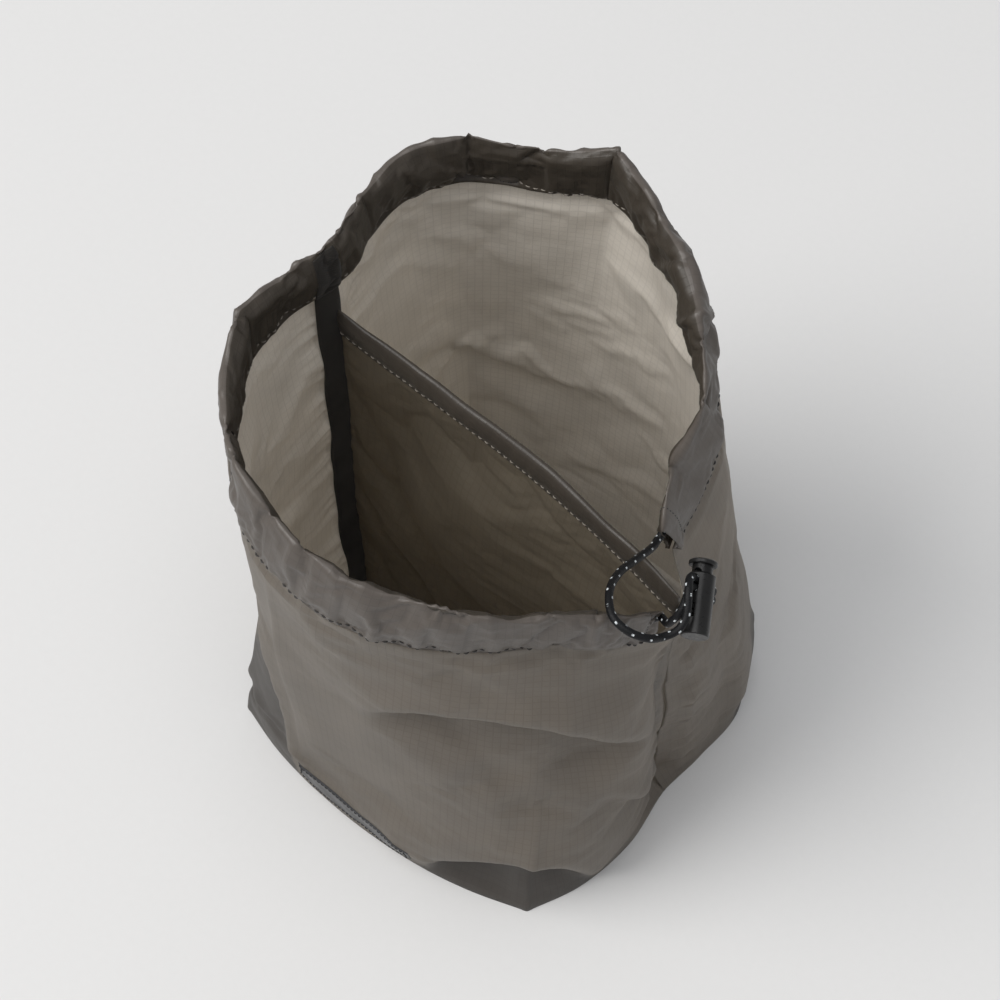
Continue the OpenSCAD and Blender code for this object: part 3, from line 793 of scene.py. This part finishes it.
def doubled_and_shaded(h, k):
    """1 where the cloth lies double in an ear, with less light through it and painted shade on its colour, 0
    elsewhere.
    """
    over = [np.interp(k, *zip(*ear), left=-1, right=-1) - h for ear in EARS]
    return np.clip(np.max(over, axis=0) / 0.24, 0, 1)


def loose(points, h):
    """Broad unevenness of the cloth before it is draped."""
    broad = value_noise(points * [1, 1, 0.8], 70, 1) * 2.0
    tight = ridged(points * [1, 1, 0.6], 45, 2) * value_noise(points, 60, 3) * 0.9
    return (broad + tight) * np.minimum(h / 0.5, 1) * np.minimum((3 - h) / 0.15, 1)


def puckers(points, h, k):
    """Short gathers beside the stitching of the hem and of the side seams."""
    out = gauss(3 - h, 0.13) * 0.75 * value_noise(points * [1, 1, 0.22], 5, 4) * np.minimum((3 - h) / 0.03, 1)
    for seam in (0, 12, 24):
        away = np.abs(k - seam)
        near = np.exp(-np.maximum(away - 0.5, 0) / 0.28) * np.clip((away - 0.2) / 0.3, 0, 1)
        slack = 1 - ridged(points * [0.12, 0.12, 1], 8, 5) ** 2
        out += near * 2.4 * slack * np.minimum(h / 0.3, 1) * np.minimum((3 - h) / 0.1, 1)
    return out


SEAM_Y = 2.0
SEAM_LEFT = -72
SEAM_RIGHT = 68
BOTTOM_ROWS = 30
LIFT = 0.2              # the bottom's cloth over the floor


def bottom_points(foot_line):
    """Half of the bottom, from the middle seam out to the foot line."""
    f = np.linspace(0, 1, len(foot_line))[:, None]
    seam = np.hstack([SEAM_LEFT + (SEAM_RIGHT - SEAM_LEFT) * f, 0 * f + SEAM_Y, 0 * f])
    if foot_line[0, 0] > foot_line[-1, 0]:
        seam = seam[::-1]
    g = np.linspace(0, 1, BOTTOM_ROWS + 1)[:-1, None, None]
    p = seam[None] * (1 - g) + foot_line[None] * g
    rise = (1 + value_noise(p, 24, 6)) * 1.2 + (1 + ridged(p, 30, 7)) * 0.5
    p[..., 2] = rise * np.sin(math.pi * g[..., 0]) ** 0.7
    return p


def panel(name, first, last, node):
    ks = np.linspace(first, last, (last - first) * PER_STATION + 1)
    hs = np.concatenate([np.linspace(0, 1, 19)[:-1], np.linspace(1, 2, 24)[:-1], np.linspace(2, 3, 29)])
    k, h = np.meshgrid(ks, hs)
    p = wall(h, k)
    p += grid_normals(p) * loose(p, h)[..., None]
    hold = np.full(h.shape, 0.07)
    hold[:2], hold[-1:], hold[:, :1], hold[:, -1:] = 1, 1, 1, 1
    p = settled_grid(name + "_draping", p, hold, 5, 0.005, 0.4)
    ks, hs, p = halved(ks, 0), halved(hs, 0), finer(p)
    k, h = np.meshgrid(ks, hs)
    out = blurred(creases(h, k), 5) + puckers(p, h, k)
    ways = grid_normals(blurred(p, 60))
    p += ways * (out * np.minimum(h / 0.12, 1) * np.minimum((3 - h) / 0.02, 1))[..., None]
    p[..., 2] = np.maximum(p[..., 2], 0) + LIFT
    surface = Surface(p, ks, hs)
    low = bottom_points(p[0] - [0, 0, LIFT])
    low[..., 2] += LIFT
    whole = np.vstack([low, p])
    obj = cloth_piece(name, whole, "ripstop", CLOTH, CLOTH_INSIDE)
    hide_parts(node)
    layers = obj.data.attributes.new("doubled_and_shaded", "FLOAT", "POINT")
    # the whole bottom takes the full mark: painted shade on its colour and less light through it
    layers.data.foreach_set("value", np.concatenate([np.ones(low[..., 0].size), doubled_and_shaded(h, k).ravel()]))
    return thicken(obj, inside=1), surface, Surface(low, ks, np.linspace(0, 1, BOTTOM_ROWS + 1)[:-1])


front, front_surface, front_bottom = panel("front_wall", 0, 12, "front_panel")
back, back_surface, back_bottom = panel("back_wall", 12, 24, "back_panel")


# ---------------------------------------------------------------- channel round the mouth
# Section from the outer stitch line over the rim to the inner one: [share of the height, depth].
SECTION = [(0, 0.1), (0.1, -0.6), (0.3, -1.0), (0.55, -0.9), (0.8, -0.4), (0.93, 0.2), (0.985, 0.7), (1, 1.1),
           (0.985, 1.7), (0.93, 2.8), (0.8, 4.1), (0.6, 4.3), (0.35, 3.8), (0.12, 3.0), (0, 2.3), (-0.02, 1.2)]
OUTER_STITCH, INNER_STITCH = 0.07, 0.12     # the stitch rows' shares of the channel's height
SECTION_HEIGHT = 25     # about how tall the channel is


def cord_path(points, ks, share, mouth):
    """The middle of the channel at each station, brought to the mouth at its open end."""
    rows = (share > 0.45) & (share < 0.9)
    path = points[rows].mean(axis=0)
    path = blurred(path[None].repeat(3, axis=0), 4)[1]
    to_mouth = np.clip(1 - np.abs(ks - mouth) / 0.5, 0, 1)[:, None]
    return path * (1 - to_mouth) + cord_in_channel(mouth) * to_mouth


def clear_of_cord(points, route, gap):
    """Moves the channel's cloth off the cord inside it."""
    flat = points.reshape(-1, 3)
    tree = kdtree.KDTree(len(route))
    for i, c in enumerate(route):
        tree.insert(c, i)
    tree.balance()
    for i, q in enumerate(flat):
        near, _, far = tree.find(q)
        if far < gap:
            flat[i] += (q - np.array(near)) / max(far, 0.05) * (gap - far)
    return flat.reshape(points.shape)


def channel(name, first, last, mouth, node):
    ks = np.linspace(first, last, (last - first) * 14 + 1)
    s = np.array(SECTION, float)
    fine, _ = smooth_route(np.column_stack([s[:, 0] * SECTION_HEIGHT, s[:, 1], 0 * s[:, 0]]), 1.6)
    share, depth = fine[:, 0] / SECTION_HEIGHT, fine[:, 1]
    f, d = share[:, None, None], depth[:, None, None]
    low, top = along(3, ks)[None], along(4, ks)[None]
    p = low * (1 - f) + top * f + (inward(3, ks)[None] * (1 - f) + inward(4, ks)[None] * f) * d
    k, f2 = np.meshgrid(ks, share)
    inside = np.arange(len(share))[:, None] > np.argmax(share)
    # pleats that start at the stitching, and crumples towards the rim
    pleats = value_noise(p * [1, 1, 0.2], 8, 8) * 1.2 * gauss(f2 - 0.05, 0.5)
    crumple = ridged(p * [1, 1, 0.7], 19, 9) * value_noise(p, 40, 10) * 3.4
    out = (pleats + crumple) * np.clip(f2 / 0.1, 0, 1) * np.where(inside, 1.3, 0.9)
    from_seam = np.minimum(np.abs(k - (first + last - mouth)) / 0.25, 1)
    p += grid_normals(p) * (out * from_seam)[..., None]
    nod = ridged(on_line(k * STATION_MM), 24, 12)
    p[..., 2] += (nod - 0.5) * 2.4 * np.clip(f2, 0, 1) ** 3 * from_seam
    hold = np.where(f2 < 0.04, 1.0, np.where(f2 > 0.96, 0.35, 0.05))
    joined = 0 if mouth == last else -1
    hold[:, joined] = 1
    p = settled_grid(name + "_draping", p, hold, 3.5, 0.035, 0.02)
    ks, p, share = halved(ks, 0), finer(p), halved(share, 0)
    k, f2 = np.meshgrid(ks, np.clip(share, 0, 1))
    top_row = int(np.argmax(share)) + 1
    outer_row = int(np.argmin(np.abs(share[:top_row] - OUTER_STITCH)))
    inner_row = top_row + int(np.argmin(np.abs(share[top_row:] - INNER_STITCH)))
    fold = value_noise(p * [1, 1, 0.5], 6, 13) * 0.4
    fold += (ridged(p * [1, 1, 0.45], 17, 14) ** 2 - 0.3) * 0.7
    fold += (ridged(p * [1, 1, 0.8], 32, 15) - 0.4) * 0.9
    fold *= np.minimum(f2 / 0.08, 1) * np.minimum(np.abs(k - (first + last - mouth)) / 0.25, 1)
    for row in (outer_row, inner_row):
        fold[row] -= 0.4
        fold[[row - 1, row + 1]] -= 0.15
    p += grid_normals(p) * fold[..., None]
    path = cord_path(p, ks, share, mouth)
    p = clear_of_cord(p, smooth_route(path, 0.7)[0], CORD_D / 2 + 0.4)
    p[..., 2] += LIFT
    obj = cloth_piece(name, p, "ripstop_hem", CHANNEL_CLOTH, CHANNEL_INSIDE)
    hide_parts(node)
    per_row = p.shape[1] - 1
    for polygon in obj.data.polygons:
        polygon.material_index = int(polygon.index // per_row >= top_row)
    surface = Surface(p, ks, np.arange(len(share), dtype=float))
    return thicken(obj), surface, (outer_row, top_row, inner_row), path


front_channel, front_rim, front_rows, front_path = channel(
    "front_channel_hem", 0, FRONT_END, FRONT_END, "front_channel")
back_channel, back_rim, back_rows, back_path = channel(
    "back_channel_hem", BACK_END, STATIONS, BACK_END, "back_channel")
cord_run = braided_tube(
    "cord_in_the_channel", smooth_route(np.vstack([back_path[::4], front_path[4::4]]), 0.7)[0], CORD_D)
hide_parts("drawcord_run")
cord_run.data.materials.append(CORD)


# ---------------------------------------------------------------- divider
DIVIDER_LEFT = 218      # heights of its top edge on the two seams
DIVIDER_RIGHT = 190
DIVIDER_HEM = 15
DIVIDER_BOW = 5.0       # how far it bows towards the back
DIVIDER_FOOT = 1.6


def divider_points(f, z_left, z_right, g):
    """Points at shares f across and g up, with the heights of the row on the left and right seams."""
    shape = np.shape(z_left)
    hs = np.linspace(0, 3, 301)
    ends = []
    for surface, k, z, gap in ((front_surface, 0.08, z_left, 0.7), (front_surface, 11.96, z_right, 1.4)):
        column = surface.at(hs, np.full(hs.shape, k))[0]
        h = np.interp(np.ravel(z), column[:, 2], hs)
        p, n = surface.at(h, np.full(h.shape, k), -gap)
        ends.append(p.reshape(*shape, 3))
    p = ends[0] * (1 - f)[..., None] + ends[1] * f[..., None]
    p[..., 1] += DIVIDER_BOW * np.sin(math.pi * f ** 1.3) * g
    p[..., 2] = z_left * (1 - f) + z_right * f
    return p


def divider():
    cols, rows = 64, 76
    f, g = np.meshgrid(np.linspace(0, 1, cols), np.linspace(0, 1, rows))
    p = divider_points(f, *(DIVIDER_FOOT + (top - DIVIDER_HEM - DIVIDER_FOOT) * g
                            for top in (DIVIDER_LEFT, DIVIDER_RIGHT)), g)
    free = np.sin(math.pi * f) ** 0.5 * np.clip((1 - g) / 0.2, 0, 1) ** 0.7 * np.clip(g / 0.1, 0, 1)
    slant = np.stack([p[..., 0] * 0.75 + p[..., 2] * 0.66, 0 * f, p[..., 2] * 0.75 - p[..., 0] * 0.66], -1)
    bulge = -6.0 * np.sin(math.pi * f) * np.sin(math.pi * g)
    wave = (ridged(slant * [1, 1, 0.3], 34, 21) ** 2 - 0.3) * 6.0 + value_noise(p, 55, 22) * 4.0
    p[..., 1] += bulge + wave * free
    hold = np.full(f.shape, 0.06)
    hold[:1], hold[-1:], hold[:, :1], hold[:, -1:] = 1, 1, 1, 1
    p = finer(settled_grid("divider_draping", p, hold, 5, 0.008, 0.15))
    f, g = np.meshgrid(np.linspace(0, 1, p.shape[1]), np.linspace(0, 1, p.shape[0]))
    gather = gauss(1 - g, 0.05) * value_noise(p * [1, 1, 0.2], 5, 23) * 0.7 * np.minimum((1 - g) / 0.02, 1)
    side = (gauss(f, 0.06) + gauss(1 - f, 0.06)) * value_noise(p * [0.2, 1, 1], 6, 24) * 0.9
    p[..., 1] += gather + side * np.sin(math.pi * g)
    obj = cloth_piece("divider_sheet", p, "ripstop_divider", DIVIDER_CLOTH)
    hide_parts("divider_panel")
    return thicken(obj)


HEM_STITCH = 0.12


def divider_hem():
    """The divider's top, turned over: up the back, over the fold and down the front."""
    section = [(0.0, 0.4), (0.3, 0.9), (0.6, 1.2), (0.85, 1.1), (0.97, 0.6), (1.0, -0.3), (0.97, -1.3),
               (0.85, -2.2), (0.6, -2.7), (0.35, -2.2), (0.12, -0.9), (0.0, -0.5), (-0.05, -0.5)]
    s, _ = smooth_route(np.array([(a * DIVIDER_HEM, b, 0) for a, b in section]), 0.6)
    share, depth = s[:, 0] / DIVIDER_HEM, s[:, 1]
    f, g = np.meshgrid(np.linspace(0, 1, 261), share)
    p = divider_points(f, *(top - DIVIDER_HEM * (1 - g) for top in (DIVIDER_LEFT, DIVIDER_RIGHT)), 0 * g + 1)
    top = int(np.argmax(share))
    stitch_row = top + int(np.argmin(np.abs(share[top:] - HEM_STITCH)))
    wave = value_noise(p * [1, 1, 0.15], 30, 31) * 1.4 * g
    streaks = (ridged(p * [1, 1, 0.15], 12, 32) ** 2 - 0.3) * 0.5 + value_noise(p * [1, 1, 0.4], 4, 34) * 0.25
    p[..., 1] += (depth[:, None] + wave) * np.sin(math.pi * f) ** 0.25
    p[..., 1] -= streaks * np.sin(math.pi * np.clip(g, 0, 1))
    p[..., 2] += value_noise(on_line(p[..., 0]), 11, 33) * 0.7 * g
    obj = cloth_piece("divider_top_hem", p, "ripstop_divider", HEM_CLOTH)
    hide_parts("divider_hem")
    return thicken(obj), p, stitch_row


divider_sheet = divider()
divider_top, divider_top_grid, divider_stitch_row = divider_hem()


# ---------------------------------------------------------------- tapes and label
def crown(count):
    return np.sqrt(np.clip(1 - np.linspace(-1, 1, count) ** 2, 0, 1))


def domed(count):
    """A tape's thickness across it, thinner at both edges."""
    return 0.3 + 0.7 * crown(count)


def strip(base, n, near, far):
    """A strip's two grids, off a surface by near and far, and its cloth coordinates."""
    near, far = (base + n * np.asarray(off)[..., None] for off in (near, far))
    return near, far, grid_uvs(base)


def closed_strips(name, strips, material, node=None):
    """One piece of closed strips."""
    verts, faces, uvs = [], [], []
    for inner, outer, uv in strips:
        rows, cols = inner.shape[:2]
        first, count = len(verts), rows * cols
        verts += inner.reshape(-1, 3).tolist() + outer.reshape(-1, 3).tolist()
        ring = list(range(cols)) + [r * cols + cols - 1 for r in range(1, rows)]
        ring += [(rows - 1) * cols + c for c in range(cols - 2, -1, -1)]
        ring += [r * cols for r in range(rows - 2, 0, -1)]
        new = [f[::-1] for f in grid_faces(rows, cols)]
        new += [tuple(i + count for i in f) for f in grid_faces(rows, cols)]
        new += [(a, b, b + count, a + count) for a, b in zip(ring, ring[1:] + ring[:1])]
        faces += [tuple(i + first for i in f) for f in new]
        uvs += [uv, uv]
    obj = new_piece(name, to_frame(verts), faces, np.vstack(uvs), [material])
    if node:
        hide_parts(node)
    return obj


TAPE_SPAN = 0.45        # in stations
TAPE_THICK = 0.9
TAPE_COLS = 13
CORNER_ROWS = 9


def softened(surface, passes):
    """The same surface without its small folds, for what is too stiff to follow them."""
    return Surface(blurred(surface.points, passes), surface.ks, surface.hs)


def seam_binding(name, k_from, surface, node, seed):
    """Binding tape folded over a side seam, inside the bag."""
    k, h = np.meshgrid(np.linspace(k_from, k_from + TAPE_SPAN, TAPE_COLS), np.linspace(0.03, 2.98, 240))
    sway = value_noise(on_line(h * HEIGHT_MM), 26, seed) * 0.05
    base, n = surface.at(h, k + sway * np.minimum(h / 0.3, 1))
    soft = value_noise(base, 12, seed + 1) * 0.5
    near = -0.9 + soft * 0.4
    far = near - TAPE_THICK * domed(TAPE_COLS)[None, :] + soft * 0.2
    return closed_strips(name, [strip(base, n, near, far)], TAPE, node)


left_binding = seam_binding("left_seam_binding", 0.02, softened(front_surface, 25), "left_seam_tape", 41)
right_binding = seam_binding("right_seam_binding", 11.92 - TAPE_SPAN, softened(front_surface, 3),
                             "right_seam_tape", 45)


def binding_in_channel():
    """The top of the left binding, over the channel's inner side up to the rim."""
    last = len(front_rim.hs) - 1
    rows = np.linspace(last - 0.5, front_rows[1] + 1.5, 40)
    k, h = np.meshgrid(np.linspace(0.02, 0.04 + TAPE_SPAN, TAPE_COLS), rows[::-1])
    base, n = front_rim.at(h, k)
    whole = strip(base, n, 0.25, 0.25 + 0.55 * domed(TAPE_COLS)[None, :])
    return closed_strips("left_binding_top", [whole], TAPE)


binding_top = binding_in_channel()

LABEL_FROM, LABEL_TO = (4.85, 0.17), (7.0, 0.42)    # its corners' stations and heights
LABEL_COLS, LABEL_ROWS = 110, 22


def woven_label():
    k, h = np.meshgrid(np.linspace(LABEL_FROM[0], LABEL_TO[0], LABEL_COLS),
                       np.linspace(LABEL_FROM[1], LABEL_TO[1], LABEL_ROWS))
    base, n = front_surface.at(h, k)
    soft = value_noise(base, 8, 43) * 0.25
    edge = np.minimum(crown(LABEL_COLS)[None, :], crown(LABEL_ROWS)[:, None]) ** 0.3
    whole = strip(base, n, 0.2, 0.3 + (0.35 + soft) * edge)
    return closed_strips("woven_label_patch", [whole], LABEL, "woven_label")


label = woven_label()


def corner_binding(name, stretches, node):
    """Binding along the foot inside the boxed corners."""
    strips = []
    for surface, first, last in stretches:
        k, h = np.meshgrid(np.linspace(first, last, 60), np.linspace(0.04, 0.16, CORNER_ROWS))
        base, n = surface.at(h, k)
        near = -1.6 + value_noise(base, 12, 47) * 0.2
        strips.append(strip(base, n, near, near - 0.7 * domed(CORNER_ROWS)[:, None]))
    return closed_strips(name, strips, TAPE, node)


def bottom_binding():
    """Binding along the bottom seam, beside the divider's foot."""
    k, g = np.meshgrid(np.linspace(0.6, 11.4, 160), np.linspace(0.035, 0.135, CORNER_ROWS))
    base, n = front_bottom.at(g, k)
    whole = strip(base, n * np.sign(n[..., 2:]), 0.3, 0.3 + 0.7 * domed(CORNER_ROWS)[:, None])
    return closed_strips("bottom_seam_binding", [whole], TAPE, "bottom_seam_tape")


left_corner = corner_binding(
    "left_corner_binding", [(front_surface, 0.6, 2.5), (back_surface, 21.6, 23.8)], "left_corner_tape")
right_corner = corner_binding(
    "right_corner_binding", [(front_surface, 9.5, 11.3), (back_surface, 12.2, 14.5)], "right_corner_tape")
bottom_tape = bottom_binding()


# ---------------------------------------------------------------- sewing thread
STITCH_SIDES, STITCH_RINGS = 6, 6
STITCH_SHARE = 0.8      # of the pitch that shows as thread


def stitches(name, path, normals, material, pitch=2.8, width=0.42, lift=0.2):
    """A row of stitches along a path: each comes out of the cloth, lies on it and goes back in."""
    at = lengths_along(path)
    share = np.linspace(0, 1, STITCH_RINGS)
    hump = np.sin(math.pi * share)[:, None]
    verts, faces = [], []

    def read(values, where):
        return np.column_stack([np.interp(where, at, values[:, i]) for i in range(3)])
    for number in range(int(at[-1] / pitch)):
        where = (number + 0.13 + STITCH_SHARE * share) * pitch
        n = unit(read(normals, where))
        p = read(path, where) + n * (lift * hump - width * 0.45 * (1 - hump))
        t = unit(np.gradient(p, axis=0))
        side = unit(np.cross(t, n))
        first = len(verts)
        radius = width / 2 * (0.6 + 0.4 * hump)
        verts += tube_points(p, side, np.cross(side, t), radius, STITCH_SIDES).tolist()
        faces += [tuple(first + i for i in face) for face in tube_faces(STITCH_RINGS, STITCH_SIDES)]
    return new_piece(name, to_frame(verts), faces, materials=[material])


def on_row(surface, row):
    return surface.points[row], surface.normals[row]


def on_column(surface, k, first, last):
    hs = np.linspace(first, last, 60)
    return surface.at(hs, np.full(hs.shape, float(k)))


def around_label():
    """The line sewn round the label, just inside its edge."""
    k0, k1, h0, h1 = LABEL_FROM[0] + 0.06, LABEL_TO[0] - 0.06, LABEL_FROM[1] + 0.018, LABEL_TO[1] - 0.018
    k = np.concatenate([np.linspace(k0, k1, 80), np.full(12, k1), np.linspace(k1, k0, 80), np.full(12, k0)])
    h = np.concatenate([np.full(80, h0), np.linspace(h0, h1, 12), np.full(80, h1), np.linspace(h1, h0, 12)])
    return front_surface.at(h, k, 0.75)


for side, rim, rows, mouth in (("front", front_rim, front_rows, FRONT_END - 0.28),
                               ("back", back_rim, back_rows, BACK_END + 0.34)):
    # the outer rows and the mouth's stitching take the darker thread: painted shade of their grooves
    stitches(side + "_channel_stitching", *on_row(rim, rows[0]), SHADED_THREAD, width=0.7, lift=0.5)
    stitches(side + "_channel_stitching_inside", *on_row(rim, rows[2]), THREAD, lift=0.4)
    stitches(side + "_mouth_stitching", *on_column(rim, mouth, rows[0], rows[2]), SHADED_THREAD,
                 pitch=2.0)
divider_thread = stitches("divider_stitching", divider_top_grid[divider_stitch_row],
                          -grid_normals(divider_top_grid)[divider_stitch_row], THREAD, width=0.5, lift=0.45)
label_thread = stitches("label_stitching", *around_label(), BLACK_THREAD, pitch=2.0, width=0.5)

# ---------------------------------------------------------------- cord lock
for node, material in (("lock_barrel", LOCK), ("lock_plunger", LOCK), ("lock_spring", STEEL)):
    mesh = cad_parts[node].data
    mesh.materials.clear()
    mesh.materials.append(material)

# ---------------------------------------------------------------- floor and light
FLOOR = 6.0
floor_mesh = bpy.data.meshes.new("floor")
floor_mesh.from_pydata([(-FLOOR, -FLOOR, 0), (FLOOR, -FLOOR, 0), (FLOOR, FLOOR, 0), (-FLOOR, FLOOR, 0)], [],
                       [(0, 1, 2, 3)])
floor = placed("floor", floor_mesh)
paper = Nodes("floor_paper")
grain = paper.mix(paper.noise(paper.place(), 300, 3), (0.70, 0.70, 0.70), (0.72, 0.72, 0.72))
floor_mesh.materials.append(paper.finished(paper.skin(grain, Roughness=0.9, Specular_IOR_Level=0.1)))

world = bpy.data.worlds.new("studio")
bpy.context.scene.world = world
world.use_nodes = True
sky = world.node_tree.nodes["Background"]
sky.inputs["Color"].default_value = (0.97, 0.98, 1.0, 1)
sky.inputs["Strength"].default_value = 0.41


def area_light(name, place, target, size, power, colour=(1, 1, 1)):
    data = bpy.data.lights.new(name, "AREA")
    data.shape = "DISK"
    data.size = size
    data.energy = power
    data.color = colour
    obj = placed(name, data)
    obj.location = place
    obj.rotation_euler = (Vector(target) - Vector(place)).to_track_quat("-Z", "Y").to_euler()


area_light("window", (-1.60, -1.95, 3.35), (0, 0, 0.1), 2.6, 106, (1.0, 0.98, 0.95))
area_light("overhead", (0.1, -0.5, 2.7), (0, 0.05, 0.1), 2.0, 24)

bpy.context.scene.view_settings.view_transform = "Standard"
